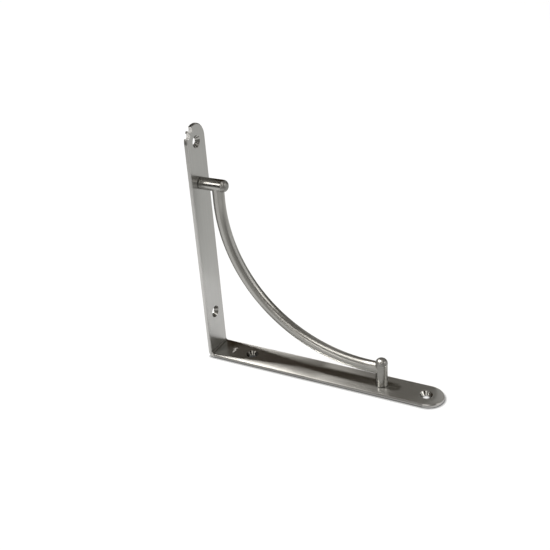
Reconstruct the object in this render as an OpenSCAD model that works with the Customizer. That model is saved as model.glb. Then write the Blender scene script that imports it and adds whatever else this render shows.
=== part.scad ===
// Decorative shelf bracket in brushed nickel-plated steel.
// A flat strip is bent to a right angle, two domed posts are riveted to its inner faces,
// and a round rod bent to a quarter circle braces one post against the other.
// The part stands on its shelf leg. The origin is the middle of its footprint, +Z runs up the wall leg,
// +X runs out along the shelf leg and +Y runs across the strip.

/* [Strip] */
// Width of the strip
strip_w = 25.4; // [20:0.1:32]
// Thickness of the strip
strip_t = 3; // [2.5:0.1:4]
// Height of the wall leg, from the shelf leg's outer face to the tip
wall_leg = 200; // [195:1:240]
// Reach of the shelf leg, from the wall leg's outer face to the tip
shelf_leg = 200; // [195:1:240]
// Inside radius of the bend
bend_in_r = 1.8; // [1:0.1:3]
// Radius along the strip's long edges
edge_r = 1; // [0.3:0.1:1.4]

/* [Screw holes] */
// Diameter of the screw holes
screw_d = 5; // [4:0.1:6]
// Diameter of the countersinks at the inner face
sink_d = 10; // [8:0.1:10.4]
// Distance from each tip to the hole beside it
tip_hole = 14; // [12:0.5:18]
// Height of the wall leg's lower hole
wall_low_hole = 37.5; // [30:0.5:60]
// Reach of the shelf leg's inner hole
shelf_in_hole = 35; // [30:0.5:60]

/* [Edge bites] */
// Radius of the round bites in the wall leg's edge
bite_r = 2.3; // [1.5:0.1:2.4]
// How far the centre of a bite lies inside the edge
bite_inset = 1.2; // [0.5:0.1:1.5]
// Angle of the upper bite about the tip's centre, measured from the +Y side
bite_high_angle = 122; // [118:1:126]
// Angle of the lower bite about the tip's centre, measured from the +Y side
bite_low_angle = 150; // [148:1:156]

/* [Posts] */
// Diameter of the posts
post_d = 9.8; // [9.6:0.1:11]
// How far the posts stand out from the strip
post_len = 23.8; // [22:0.1:28]
// Radius of the post's rounded end
dome_r = 4.2; // [3:0.1:4.7]
// Diameter of the rivet tenon through the strip
tenon_d = 6; // [5:0.1:7]
// Depth of the tenon's spread head
head_depth = 1; // [0.6:0.1:1.2]

/* [Rod] */
// Diameter of the rod
rod_d = 9.4; // [8:0.1:9.5]
// Distance from the strip's inner faces to the rod's axis
rod_off = 15; // [13:0.5:16]
// Bending radius of the rod, on its axis
rod_bend_r = 122; // [100:1:137]
// Straight tail of the rod, from the end of its bend to the wall post's axis
wall_tail = 12.5; // [8:0.5:16]
// Straight tail of the rod, from the end of its bend to the shelf post's axis
shelf_tail = 10; // [8:0.5:16]
// Diameter of the spigot at each end of the rod
spigot_d = 5; // [4:0.1:6]
// How far the spigot passes the post's axis
spigot_past = 1.2; // [0.5:0.1:2]

/* [Hidden] */
$fn = 96;
// Running clearance round tenons and spigots
fit_gap = 0.05;
// Clearance beyond the end of a spigot
end_gap = 0.3;
// How far cutting tools pass a face
overcut = 1;
nickel = [0.62, 0.61, 0.58];
bend_out_r = bend_in_r + strip_t;
tip_r = strip_w / 2;
post_r = post_d / 2;
sink_depth = (sink_d - screw_d) / 2;
head_d = tenon_d + 2 * head_depth;
// The rod's bend is centred where both of its tails are square to the posts
rod_centre = strip_t + rod_off + rod_bend_r;
// Height of the wall post's axis and reach of the shelf post's axis
wall_post_z = rod_centre + wall_tail;
shelf_post_x = rod_centre + shelf_tail;

// Moves the corner of the two outer faces to the end of the footprint
module in_frame() {
    translate([-shelf_leg / 2, 0, 0]) children();
}

// Swaps X and Z, so that a feature of the shelf leg becomes one of the wall leg
module on_wall() {
    mirror([1, 0, -1]) children();
}

// Rectangle from the X axis up, centred on the Y axis, with rounded corners
module soft_rectangle(width, height, corner) {
    translate([-width / 2 + corner, 0]) square([width - 2 * corner, height]);
    translate([-width / 2, corner]) square([width, height - 2 * corner]);
    for (x = [corner - width / 2, width / 2 - corner])
        for (y = [corner, height - corner])
            translate([x, y]) circle(corner);
}

// Straight run of one leg and its half-round end
module leg_blank(reach) {
    translate([bend_out_r, 0, 0])
        rotate([90, 0, 90])
            linear_extrude(reach - tip_r - bend_out_r) soft_rectangle(strip_w, strip_t, edge_r);
    translate([reach - tip_r, 0, 0])
        rotate([0, 0, -90])
            rotate_extrude(angle = 180)
                intersection() {
                    soft_rectangle(strip_w, strip_t, edge_r);
                    square([strip_w, strip_t]);
                }
}

// Quarter turn between the legs
module bend() {
    translate([bend_out_r, 0, bend_out_r])
        rotate([90, 0, 0])
            rotate([0, 0, 180])
                rotate_extrude(angle = 90)
                    translate([bend_out_r, 0])
                        rotate([0, 0, 90]) soft_rectangle(strip_w, strip_t, edge_r);
}

// Countersunk screw hole of the shelf leg
module screw_hole(reach) {
    translate([reach, 0, -overcut]) cylinder(d = screw_d, h = strip_t + 2 * overcut);
    translate([reach, 0, strip_t - sink_depth])
        cylinder(d1 = screw_d, d2 = sink_d + 2 * overcut, h = sink_depth + overcut);
}

// Rivet hole of the shelf leg, widened at the outer face for the tenon's spread head
module rivet_hole(reach) {
    translate([reach, 0, -overcut]) cylinder(d = tenon_d + 2 * fit_gap, h = strip_t + 2 * overcut);
    translate([reach, 0, -overcut])
        cylinder(d1 = head_d + 2 * (fit_gap + overcut), d2 = tenon_d + 2 * fit_gap, h = head_depth + overcut);
}

// Round bite out of the near edge of the wall leg's tip
module edge_bite(angle) {
    bite_at = tip_r - bite_inset;
    translate([-overcut, bite_at * cos(angle), wall_leg - tip_r + bite_at * sin(angle)])
        rotate([0, 90, 0]) cylinder(r = bite_r, h = strip_t + 2 * overcut);
}

// Domed post on the shelf leg's inner face, with a rivet tenon below and a cross hole for the rod
module post(reach) {
    translate([reach, 0, strip_t])
        difference() {
            union() {
                rotate_extrude() {
                    square([post_r, post_len - dome_r]);
                    square([post_r - dome_r, post_len]);
                    translate([post_r - dome_r, post_len - dome_r])
                        intersection() {
                            circle(dome_r);
                            square(dome_r);
                        }
                }
                translate([0, 0, -strip_t]) cylinder(d = tenon_d, h = strip_t);
                translate([0, 0, -strip_t]) cylinder(d1 = head_d, d2 = tenon_d, h = head_depth);
            }
            translate([spigot_past + end_gap, 0, rod_off])
                rotate([0, -90, 0])
                    cylinder(d = spigot_d + 2 * fit_gap, h = post_d);
        }
}

// Straight tail of the rod at the shelf post, saddled to the post's side, with its spigot
module rod_tail(reach) {
    difference() {
        translate([rod_centre, 0, strip_t + rod_off])
            rotate([0, 90, 0]) cylinder(d = rod_d, h = reach - rod_centre);
        translate([reach, 0, strip_t]) cylinder(r = post_r, h = post_len);
    }
    translate([reach - post_d, 0, strip_t + rod_off])
        rotate([0, 90, 0]) cylinder(d = spigot_d, h = post_d + spigot_past);
}

module bent_strip() {
    color(nickel)
        in_frame()
            difference() {
                union() {
                    leg_blank(shelf_leg);
                    on_wall() leg_blank(wall_leg);
                    bend();
                }
                screw_hole(shelf_in_hole);
                screw_hole(shelf_leg - tip_hole);
                rivet_hole(shelf_post_x);
                on_wall() {
                    screw_hole(wall_low_hole);
                    screw_hole(wall_leg - tip_hole);
                    rivet_hole(wall_post_z);
                }
                edge_bite(bite_high_angle);
                edge_bite(bite_low_angle);
            }
}

module wall_post() {
    color(nickel) in_frame() on_wall() post(wall_post_z);
}

module shelf_post() {
    color(nickel) in_frame() post(shelf_post_x);
}

module curved_rod() {
    color(nickel)
        in_frame() {
            rod_tail(shelf_post_x);
            on_wall() rod_tail(wall_post_z);
            translate([rod_centre, 0, rod_centre])
                rotate([90, 0, 0])
                    rotate([0, 0, 180])
                        rotate_extrude(angle = 90) translate([rod_bend_r, 0]) circle(d = rod_d);
        }
}

bent_strip();
wall_post();
shelf_post();
curved_rod();
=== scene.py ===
"""Looks of a decorative shelf bracket in brushed nickel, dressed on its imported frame."""

import logging
import math
from dataclasses import dataclass, field
from enum import Enum
from typing import Callable, ClassVar

import bmesh
import bpy
from mathutils import Matrix, Vector
from mathutils.geometry import delaunay_2d_cdt

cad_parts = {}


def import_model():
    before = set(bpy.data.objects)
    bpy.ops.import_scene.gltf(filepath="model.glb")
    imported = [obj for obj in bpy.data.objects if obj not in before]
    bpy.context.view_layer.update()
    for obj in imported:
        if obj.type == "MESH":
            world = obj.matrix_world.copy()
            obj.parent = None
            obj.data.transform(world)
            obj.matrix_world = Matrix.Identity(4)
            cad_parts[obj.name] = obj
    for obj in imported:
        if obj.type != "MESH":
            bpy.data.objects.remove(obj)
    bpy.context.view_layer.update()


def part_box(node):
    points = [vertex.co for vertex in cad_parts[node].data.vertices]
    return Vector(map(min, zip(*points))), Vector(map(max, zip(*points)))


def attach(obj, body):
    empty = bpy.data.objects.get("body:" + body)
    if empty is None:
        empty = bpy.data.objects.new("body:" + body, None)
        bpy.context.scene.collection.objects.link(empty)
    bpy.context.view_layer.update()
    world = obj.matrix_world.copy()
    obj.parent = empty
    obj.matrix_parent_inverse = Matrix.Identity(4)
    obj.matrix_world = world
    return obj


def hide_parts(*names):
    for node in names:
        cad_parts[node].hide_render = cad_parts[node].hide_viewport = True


LOG = logging.getLogger("shelf_bracket")
MM = 0.001

Plan = tuple[float, float]
Corner = tuple[Vector, Vector, Plan]


class Side(Enum):
    """Face of the strip that a hole is sunk from."""

    INNER = "inner"
    OUTER = "outer"


class Stand(Enum):
    """Leg of the strip that a post stands on."""

    WALL = "wall"
    SHELF = "shelf"


class Nodes:
    """Builds one node tree, a node at a time."""

    def __init__(self, tree: bpy.types.NodeTree) -> None:
        """Takes a node tree to fill and empties it."""
        self.tree = tree
        self.tree.nodes.clear()

    def add(self, kind: str, **values: object) -> bpy.types.Node:
        """Adds a node.

        Args:
            kind: The node's type name.
            values: Properties of the node, by attribute name.

        Returns:
            The new node.
        """
        node = self.tree.nodes.new(kind)
        for name, value in values.items():
            setattr(node, name, value)
        return node

    def link(self, source: bpy.types.NodeSocket, target: bpy.types.NodeSocket) -> None:
        """Joins an output to an input."""
        self.tree.links.new(source, target)

    def noise(self, vector: bpy.types.NodeSocket, scale: tuple[float, float, float], detail: float,
              roughness: float = 0.5) -> bpy.types.NodeSocket:
        """Adds a stretched noise.

        Args:
            vector: The coordinates that the noise reads.
            scale: Noise cells for each metre along the three coordinates.
            detail: Octaves of the noise.
            roughness: Share of the finer octaves.

        Returns:
            The noise's value.
        """
        mapping = self.add("ShaderNodeMapping")
        mapping.inputs["Scale"].default_value = scale
        self.link(vector, mapping.inputs["Vector"])
        noise = self.add("ShaderNodeTexNoise")
        noise.inputs["Scale"].default_value = 1.0
        noise.inputs["Detail"].default_value = detail
        noise.inputs["Roughness"].default_value = roughness
        self.link(mapping.outputs["Vector"], noise.inputs["Vector"])
        return noise.outputs["Fac"]

    def span(self, value: bpy.types.NodeSocket, low: float, high: float,
             start: float = 0.3, end: float = 0.7) -> bpy.types.NodeSocket:
        """Maps a value onto a range.

        Args:
            value: The value to map.
            low: Result at the start.
            high: Result at the end.
            start: Value that gives low.
            end: Value that gives high.

        Returns:
            The mapped value.
        """
        node = self.add("ShaderNodeMapRange")
        node.inputs["From Min"].default_value = start
        node.inputs["From Max"].default_value = end
        node.inputs["To Min"].default_value = low
        node.inputs["To Max"].default_value = high
        self.link(value, node.inputs["Value"])
        return node.outputs["Result"]

    def math(self, operation: str, first: bpy.types.NodeSocket,
             second: bpy.types.NodeSocket | float) -> bpy.types.NodeSocket:
        """Works out one value from two.

        Args:
            operation: The Math node's operation.
            first: First value.
            second: Second value, a socket or a number.

        Returns:
            The result.
        """
        node = self.add("ShaderNodeMath", operation=operation)
        self.link(first, node.inputs[0])
        if isinstance(second, float):
            node.inputs[1].default_value = second
        else:
            self.link(second, node.inputs[1])
        return node.outputs["Value"]

    def shares(self, first: bpy.types.NodeSocket, second: bpy.types.NodeSocket,
               share: float) -> bpy.types.NodeSocket:
        """Adds two values, the first by its share and the second by the rest."""
        rest = self.math("MULTIPLY", second, 1.0 - share)
        return self.math("ADD", self.math("MULTIPLY", first, share), rest)

    def blend(self, factor: bpy.types.NodeSocket, low: tuple[float, ...],
              high: tuple[float, ...]) -> bpy.types.NodeSocket:
        """Mixes two colours.

        Args:
            factor: Share of the second colour.
            low: First colour.
            high: Second colour.

        Returns:
            The mixed colour.
        """
        node = self.add("ShaderNodeMix", data_type="RGBA")
        self.link(factor, node.inputs["Factor"])
        node.inputs[6].default_value = (*low, 1.0)
        node.inputs[7].default_value = (*high, 1.0)
        return node.outputs[2]


def new_material(name: str) -> tuple[bpy.types.Material, Nodes, bpy.types.NodeSocket]:
    """Starts a material.

    Args:
        name: Name of the material.

    Returns:
        The material, its node tree and the socket that takes its shader.
    """
    material = bpy.data.materials.new(name)
    material.use_nodes = True
    nodes = Nodes(material.node_tree)
    output = nodes.add("ShaderNodeOutputMaterial")
    return material, nodes, output.inputs["Surface"]


@dataclass(frozen=True)
class Nickel:
    """Nickel plating over steel, with a grain that runs along U and slight smudges.

    The grain, scratches and bump read the piece's own UV map, in metres along and across the grain.
    Reflections spread across the grain and stay sharp along it. A clear lacquer may lie over it.

    Attributes:
        name: Name of the finish.
        pale: Colour of its palest spots.
        dark: Colour of its darkest spots.
        rough_low: Roughness of the darkest spots.
        rough_high: Roughness of the palest spots.
        anisotropy: How much wider reflections spread across the grain than along it.
        grain_length: Length of a scratch, in metres.
        grain_width: Width of a scratch, in metres.
        grain_bump: Strength of the scratches' relief.
        lacquer: Weight of the clear lacquer.
        lacquer_ior: Index of refraction of the lacquer.
        lacquer_roughness: Roughness of the lacquer.
    """

    ACROSS_GRAIN: ClassVar[float] = 0.25
    BROAD_LENGTH: ClassVar[float] = 0.4
    BROAD_WIDTH: ClassVar[float] = 0.16
    FINE_SHARE: ClassVar[float] = 0.55
    GRAIN_SHARE: ClassVar[float] = 0.6
    SMUDGES_PER_METRE: ClassVar[float] = 34.0
    SCRATCH_DEPTH: ClassVar[float] = 0.02 * MM

    name: str
    pale: tuple[float, float, float]
    dark: tuple[float, float, float]
    rough_low: float
    rough_high: float
    anisotropy: float
    grain_length: float
    grain_width: float
    grain_bump: float
    lacquer: float = 0.0
    lacquer_ior: float = 1.75
    lacquer_roughness: float = 0.18

    def build(self) -> bpy.types.Material:
        """Makes the material.

        Returns:
            The finished material.
        """
        material, nodes, surface = new_material(self.name)
        metal = nodes.add("ShaderNodeBsdfPrincipled")
        metal.inputs["Metallic"].default_value = 1.0
        metal.inputs["Anisotropic"].default_value = self.anisotropy
        metal.inputs["Anisotropic Rotation"].default_value = self.ACROSS_GRAIN
        metal.inputs["Coat Weight"].default_value = self.lacquer
        metal.inputs["Coat IOR"].default_value = self.lacquer_ior
        metal.inputs["Coat Roughness"].default_value = self.lacquer_roughness
        uv = nodes.add("ShaderNodeUVMap", uv_map="grain").outputs["UV"]
        place = nodes.add("ShaderNodeTexCoord").outputs["Object"]
        fine = nodes.noise(uv, (1 / self.grain_length, 1 / self.grain_width, 1.0), 3.0, 0.6)
        broad_scale = (self.BROAD_LENGTH / self.grain_length, self.BROAD_WIDTH / self.grain_width, 1.0)
        broad = nodes.noise(uv, broad_scale, 2.0)
        smudge = nodes.noise(place, (self.SMUDGES_PER_METRE,) * 3, 4.0, 0.55)
        grain = nodes.shares(fine, broad, self.FINE_SHARE)
        tone = nodes.shares(grain, smudge, self.GRAIN_SHARE)
        colour = nodes.blend(nodes.span(tone, 0.0, 1.0), self.dark, self.pale)
        nodes.link(colour, metal.inputs["Base Color"])
        nodes.link(nodes.span(tone, self.rough_low, self.rough_high), metal.inputs["Roughness"])
        tangent = nodes.add("ShaderNodeTangent", direction_type="UV_MAP", uv_map="grain")
        nodes.link(tangent.outputs["Tangent"], metal.inputs["Tangent"])
        bump = nodes.add("ShaderNodeBump")
        bump.inputs["Strength"].default_value = self.grain_bump
        bump.inputs["Distance"].default_value = self.SCRATCH_DEPTH
        nodes.link(grain, bump.inputs["Height"])
        nodes.link(bump.outputs["Normal"], metal.inputs["Normal"])
        nodes.link(metal.outputs["BSDF"], surface)
        return material


@dataclass(frozen=True)
class PeenedNickel:
    """Hammered end of a rivet, dimpled and a little duller than the grain beside it."""

    name: str = "peened_rivet"
    pale: tuple[float, float, float] = (0.46, 0.45, 0.43)
    dark: tuple[float, float, float] = (0.30, 0.29, 0.27)
    dimple: float = 1.4 * MM
    dimple_depth: float = 0.2 * MM
    dimple_bump: float = 0.5
    specks_per_metre: float = 900.0
    rough_low: float = 0.34
    rough_high: float = 0.5

    def build(self) -> bpy.types.Material:
        """Makes the material.

        Returns:
            The finished material.
        """
        material, nodes, surface = new_material(self.name)
        metal = nodes.add("ShaderNodeBsdfPrincipled")
        metal.inputs["Metallic"].default_value = 1.0
        place = nodes.add("ShaderNodeTexCoord").outputs["Object"]
        dents = nodes.add("ShaderNodeTexVoronoi", feature="SMOOTH_F1")
        dents.inputs["Scale"].default_value = 1 / self.dimple
        nodes.link(place, dents.inputs["Vector"])
        specks = nodes.noise(place, (self.specks_per_metre,) * 3, 3.0)
        colour = nodes.blend(nodes.span(specks, 0.0, 1.0), self.dark, self.pale)
        nodes.link(colour, metal.inputs["Base Color"])
        nodes.link(nodes.span(specks, self.rough_low, self.rough_high), metal.inputs["Roughness"])
        bump = nodes.add("ShaderNodeBump")
        bump.inputs["Strength"].default_value = self.dimple_bump
        bump.inputs["Distance"].default_value = self.dimple_depth
        nodes.link(dents.outputs["Distance"], bump.inputs["Height"])
        nodes.link(bump.outputs["Normal"], metal.inputs["Normal"])
        nodes.link(metal.outputs["BSDF"], surface)
        return material


@dataclass(frozen=True)
class PaleSurface:
    """Matt pale floor that looks the same to the camera and in the metal.

    It takes the lamps' shadows, a painted contact shade darkens it close to what stands on it, and a
    painted shadow darkens it most where the wall leg keeps the light off a screw hole.

    Attributes:
        name: Name of the finish.
        colour: Colour under the lamps.
        white_share: Share of even white in what the camera and the metal see.
        contact_reach: Reach of the painted contact shade beside the bracket, in metres.
        contact_depth: How fast the painted contact shade darkens.
        contact_samples: Samples of that darkening.
        shaded_hole: Middle of the painted shadow on the screw hole that gets no light.
        hole_light: Share of the white that the painted shadow leaves in that hole.
        hole_dark: Radius of the painted shadow's darkest part.
        hole_clear: Radius past which the floor is as white as elsewhere.
    """

    name: str = "pale_floor"
    colour: tuple[float, float, float] = (0.86, 0.86, 0.85)
    white_share: float = 0.9
    contact_reach: float = 2.5 * MM
    contact_depth: float = 2.6
    contact_samples: int = 8
    shaded_hole: tuple[float, float, float] = (-65 * MM, 0.0, 0.0)
    hole_light: float = 0.03
    hole_dark: float = 4 * MM
    hole_clear: float = 7 * MM

    def build(self) -> bpy.types.Material:
        """Makes the material.

        Returns:
            The finished material.
        """
        material, nodes, surface = new_material(self.name)
        matt = nodes.add("ShaderNodeBsdfDiffuse")
        matt.inputs["Color"].default_value = (*self.colour, 1.0)
        # Painted contact shade: ambient occlusion dims the white glow beside the bracket.
        contact = nodes.add("ShaderNodeAmbientOcclusion", samples=self.contact_samples)
        contact.inputs["Distance"].default_value = self.contact_reach
        white = nodes.add("ShaderNodeEmission")
        white.inputs["Color"].default_value = (1.0, 1.0, 1.0, 1.0)
        openness = nodes.math("POWER", contact.outputs["AO"], self.contact_depth)
        # Painted shadow: the white glow dims around the screw hole that the wall leg keeps the light off.
        place = nodes.add("ShaderNodeTexCoord")
        off = nodes.add("ShaderNodeVectorMath", operation="DISTANCE")
        nodes.link(place.outputs["Object"], off.inputs[0])
        off.inputs[1].default_value = self.shaded_hole
        clear = nodes.span(off.outputs["Value"], self.hole_light, 1.0, self.hole_dark, self.hole_clear)
        openness = nodes.math("MULTIPLY", openness, clear)
        rays = nodes.add("ShaderNodeLightPath")
        shade = nodes.math("MAXIMUM", openness, rays.outputs["Is Glossy Ray"])
        nodes.link(shade, white.inputs["Strength"])
        seen = nodes.math("MAXIMUM", rays.outputs["Is Camera Ray"], rays.outputs["Is Glossy Ray"])
        seen = nodes.math("MAXIMUM", seen, rays.outputs["Is Transmission Ray"])
        share = nodes.math("MULTIPLY", seen, self.white_share)
        mix = nodes.add("ShaderNodeMixShader")
        nodes.link(share, mix.inputs["Fac"])
        nodes.link(matt.outputs["BSDF"], mix.inputs[1])
        nodes.link(white.outputs["Emission"], mix.inputs[2])
        nodes.link(mix.outputs["Shader"], surface)
        return material


@dataclass(frozen=True)
class CardPaper:
    """Evenly lit paper of a card that the metal mirrors."""

    name: str
    colour: tuple[float, float, float]

    def build(self) -> bpy.types.Material:
        """Makes the material.

        Returns:
            The finished material.
        """
        material, nodes, surface = new_material(self.name)
        paper = nodes.add("ShaderNodeEmission")
        paper.inputs["Color"].default_value = (*self.colour, 1.0)
        nodes.link(paper.outputs["Emission"], surface)
        return material


class Skin:
    """Collects faces that carry their own corner normals and UVs, and makes one closed mesh of them.

    Points are in millimetres from the corner where the two outer faces of the strip would meet.
    """

    MERGE: ClassVar[int] = 4

    def __init__(self, corner: Vector) -> None:
        """Starts an empty skin.

        Args:
            corner: Place of the strip's outer corner in the row's frame, in metres.
        """
        self.corner = corner
        self.points: list[Vector] = []
        self.found: dict[tuple[float, ...], int] = {}
        self.faces: list[list[int]] = []
        self.normals: list[Vector] = []
        self.uvs: list[Plan] = []
        self.slots: list[int] = []

    def point(self, place: Vector) -> int:
        """Finds or adds a point.

        Args:
            place: The point, in millimetres.

        Returns:
            The point's index.
        """
        key = tuple(round(value, self.MERGE) + 0.0 for value in place)
        if key not in self.found:
            self.found[key] = len(self.points)
            self.points.append(self.corner + place * MM)
        return self.found[key]

    def face(self, corners: list[Corner], slot: int = 0) -> None:
        """Adds a face, unless it has shrunk to a line.

        Args:
            corners: Point, normal and UV of each corner, counter-clockwise from outside.
            slot: Material slot of the face.
        """
        kept: list[tuple[int, Vector, Plan]] = []
        for place, normal, uv in corners:
            index = self.point(place)
            if all(index != other[0] for other in kept):
                kept.append((index, normal, uv))
        if len(kept) < 3:
            return
        self.faces.append([index for index, _, _ in kept])
        self.normals.extend(normal for _, normal, _ in kept)
        self.uvs.extend((uv[0] * MM, uv[1] * MM) for _, _, uv in kept)
        self.slots.append(slot)

    def build(self, name: str, materials: list[bpy.types.Material]) -> bpy.types.Object:
        """Makes the object.

        Args:
            name: Name of the object.
            materials: Materials, by slot.

        Returns:
            The new object, at the origin.
        """
        mesh = bpy.data.meshes.new(name)
        mesh.from_pydata([tuple(point) for point in self.points], [], self.faces)
        grain = mesh.uv_layers.new(name="grain")
        for loop, uv in zip(grain.data, self.uvs):
            loop.uv = uv
        for material in materials:
            mesh.materials.append(material)
        for polygon, slot in zip(mesh.polygons, self.slots):
            polygon.use_smooth = True
            polygon.material_index = slot
        mesh.normals_split_custom_set([tuple(normal.normalized()) for normal in self.normals])
        mesh.update()
        piece = bpy.data.objects.new(name, mesh)
        bpy.context.scene.collection.objects.link(piece)
        return piece


def arc(start: float, end: float, steps: int) -> list[float]:
    """Divides a turn evenly.

    Args:
        start: First angle, in degrees.
        end: Last angle, in degrees.
        steps: Number of steps between them.

    Returns:
        The angles in radians, both ends among them.
    """
    return [math.radians(start + (end - start) * step / steps) for step in range(steps + 1)]


@dataclass(frozen=True)
class Hole:
    """Round hole through the strip, sunk from one face.

    Attributes:
        at: Distance of the hole's axis along the flat strip, in millimetres from the middle of the bend.
        radius: Radius of the hole.
        sink_radius: Radius of the sink at its face.
        sink_depth: Depth of the sink.
        side: Face that the sink is cut in.
        in_shade: Whether its wall is painted dark as shade.
    """

    at: float
    radius: float
    sink_radius: float
    sink_depth: float
    side: Side
    in_shade: bool = False

    def rim(self, side: Side) -> float:
        """Returns the hole's radius at a face."""
        return self.sink_radius if side is self.side else self.radius


@dataclass
class Column:
    """One line down the strip's edge, from the inner face to the outer face.

    Attributes:
        plan: Points of the line in the flat strip's plane.
        outward: Outward direction of the edge in that plane.
        rows: Inset from the edge, height above the outer face and slope angle of each point.
        bite: Centre of the bite whose wall starts here, if one does.
    """

    plan: list[Plan]
    outward: Plan
    rows: list[tuple[float, float, float]]
    bite: Plan | None = None

    def long_side(self, start: float) -> bool:
        """Tells whether the line is on a straight side of the shelf leg, past the start of the leg."""
        return self.outward[0] == 0.0 and self.plan[0][0] > start

    def near_side(self, end: float) -> bool:
        """Tells whether the line is on the near straight side, before the shelf leg."""
        return self.outward == (0.0, -1.0) and self.plan[0][0] < end


@dataclass
class BentStrip:
    """Flat strip with round ends, drilled, bitten at one edge, and folded to a right angle.

    The strip is laid out flat first: S runs along it from the wall leg's tip to the shelf leg's tip, with
    zero in the middle of the bend, Y runs across it, and N runs from its outer face to its inner face.
    Sizes are in millimetres.

    Attributes:
        corner: Place of the outer corner in the row's frame, in metres.
        width: Width of the strip.
        wall_leg: Height of the wall leg, over the outer corner.
        shelf_leg: Length of the shelf leg, from the outer corner.
        thickness: Thickness of the strip.
        bend_inside: Inside radius of the bend.
        edge_radius: Radius of the rounded edges.
        tip_hole: Distance of the outer screw hole of each leg from the leg's tip.
        wall_low_hole: Height of the wall leg's lower screw hole.
        shelf_in_hole: Distance of the shelf leg's inner screw hole from the outer corner.
        screw_radius: Radius of a screw hole.
        sink_radius: Radius of a screw hole's sink.
        rivet_radius: Radius of a rivet hole.
        rivet_sink_radius: Radius of a rivet hole's sink.
        rivet_sink_depth: Depth of a rivet hole's sink.
        wall_rivet: Height of the wall leg's rivet hole.
        shelf_rivet: Distance of the shelf leg's rivet hole from the outer corner.
        bite_radius: Radius of a bite.
        bite_inset: Distance of a bite's centre from the strip's edge.
        bite_angles: Angles of the bites about the centre of the wall leg's round end, in degrees.
        dub_width: Width of the full easing that linishing gave the inner face.
        dub_drop: Drop of the full easing.
        near_dub: Share of the full easing along the shelf leg's near edge.
        ease_start: Distance along the flat strip where that easing is full.
        shade_reach: Reach along the flat shelf leg within which a screw hole's wall is painted dark as
            shade.
        dub_steps, edge_steps, bend_steps, tip_steps, bite_steps, hole_steps: Steps of each round form.
    """

    TINY: ClassVar[float] = 0.001
    BITE_GAP: ClassVar[float] = 0.01
    HOLE_INSIDE: ClassVar[float] = 0.998
    CUT_MERGE: ClassVar[float] = 1e-5
    FACE: ClassVar[int] = 0
    EDGE: ClassVar[int] = 1
    BORE: ClassVar[int] = 2
    CREASE: ClassVar[int] = 3
    BITE: ClassVar[int] = 4
    ROUND: ClassVar[int] = 5
    LIT_SIDE: ClassVar[int] = 6
    DARK_BORE: ClassVar[int] = 7

    corner: Vector
    width: float
    wall_leg: float
    shelf_leg: float
    thickness: float = 3.0
    bend_inside: float = 1.8
    edge_radius: float = 1.0
    tip_hole: float = 14.0
    wall_low_hole: float = 37.5
    shelf_in_hole: float = 35.0
    screw_radius: float = 2.5
    sink_radius: float = 5.0
    rivet_radius: float = 3.05
    rivet_sink_radius: float = 4.05
    rivet_sink_depth: float = 1.0
    wall_rivet: float = 152.5
    shelf_rivet: float = 150.0
    bite_radius: float = 2.3
    bite_inset: float = 1.2
    bite_angles: tuple[float, float] = (212.0, 240.0)
    dub_width: float = 6.0
    dub_drop: float = 0.4
    dub_steps: int = 6
    near_dub: float = 0.75
    ease_start: float = 16.0
    shade_reach: float = 60.0
    edge_steps: int = 6
    bend_steps: int = 14
    tip_steps: int = 72
    bite_steps: int = 22
    hole_steps: int = 64

    def __post_init__(self) -> None:
        """Works out the flat lengths."""
        self.bend_outside = self.bend_inside + self.thickness
        self.half_bend = math.pi / 4 * (self.bend_inside + self.thickness / 2)
        self.tip_radius = self.width / 2
        self.wall_end = self.flat_wall(self.wall_leg - self.tip_radius)
        self.shelf_end = self.flat_shelf(self.shelf_leg - self.tip_radius)

    def flat_shelf(self, reach: float) -> float:
        """Returns the flat distance of a reach along the shelf leg."""
        return self.half_bend + reach - self.bend_outside

    def flat_wall(self, height: float) -> float:
        """Returns the flat distance of a height on the wall leg."""
        return -self.half_bend - height + self.bend_outside

    def axes(self, s: float) -> tuple[Vector, Vector, Vector]:
        """Gives the folded directions of the flat strip's axes.

        Args:
            s: Distance along the flat strip.

        Returns:
            Directions of S, Y and N there.
        """
        share = min(max((self.half_bend - s) / (2 * self.half_bend), 0.0), 1.0)
        turn = share * math.pi / 2
        along = Vector((math.cos(turn), 0.0, -math.sin(turn)))
        up = Vector((math.sin(turn), 0.0, math.cos(turn)))
        return along, Vector((0.0, 1.0, 0.0)), up

    def fold(self, s: float, y: float, n: float) -> Vector:
        """Folds a point of the flat strip.

        Args:
            s: Distance along the flat strip.
            y: Distance across it.
            n: Height above its outer face.

        Returns:
            The folded point, in millimetres from the outer corner.
        """
        along, across, up = self.axes(s)
        centre = Vector((self.bend_outside, 0.0, self.bend_outside))
        straight = s - min(max(s, -self.half_bend), self.half_bend)
        return centre - up * (self.bend_outside - n) + along * straight + across * y

    def turn(self, s: float, direction: tuple[float, float, float]) -> Vector:
        """Folds a direction given along S, Y and N."""
        along, across, up = self.axes(s)
        return along * direction[0] + across * direction[1] + up * direction[2]

    def profile(self, dub: float = 0.0) -> list[tuple[float, float, float]]:
        """Gives the rounded edge of the strip's section.

        Args:
            dub: Share of the full easing that linishing gave the face beside this edge.

        Returns:
            Inset from the edge, height above the outer face and slope angle of each point, from the top.
        """
        r = self.edge_radius
        width, drop = self.dub_width * dub, self.dub_drop * dub * dub
        steepest = 2 * drop / width if dub else 0.0
        lean = math.atan(steepest)
        reach = width + r * math.sin(lean)
        rows = []
        for step in range(self.dub_steps):
            share = step / self.dub_steps
            slope = math.pi / 2 - math.atan(steepest * share)
            rows.append((r + width - reach * share, self.thickness - drop * share ** 2, slope))
        high = self.thickness - drop - r * math.cos(lean)
        for a in arc(90 - math.degrees(lean), 0, self.edge_steps):
            rows.append((r - r * math.cos(a), high + r * math.sin(a), a))
        for a in arc(0, -90, self.edge_steps):
            rows.append((r - r * math.cos(a), r + r * math.sin(a), a))
        return rows

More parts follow.
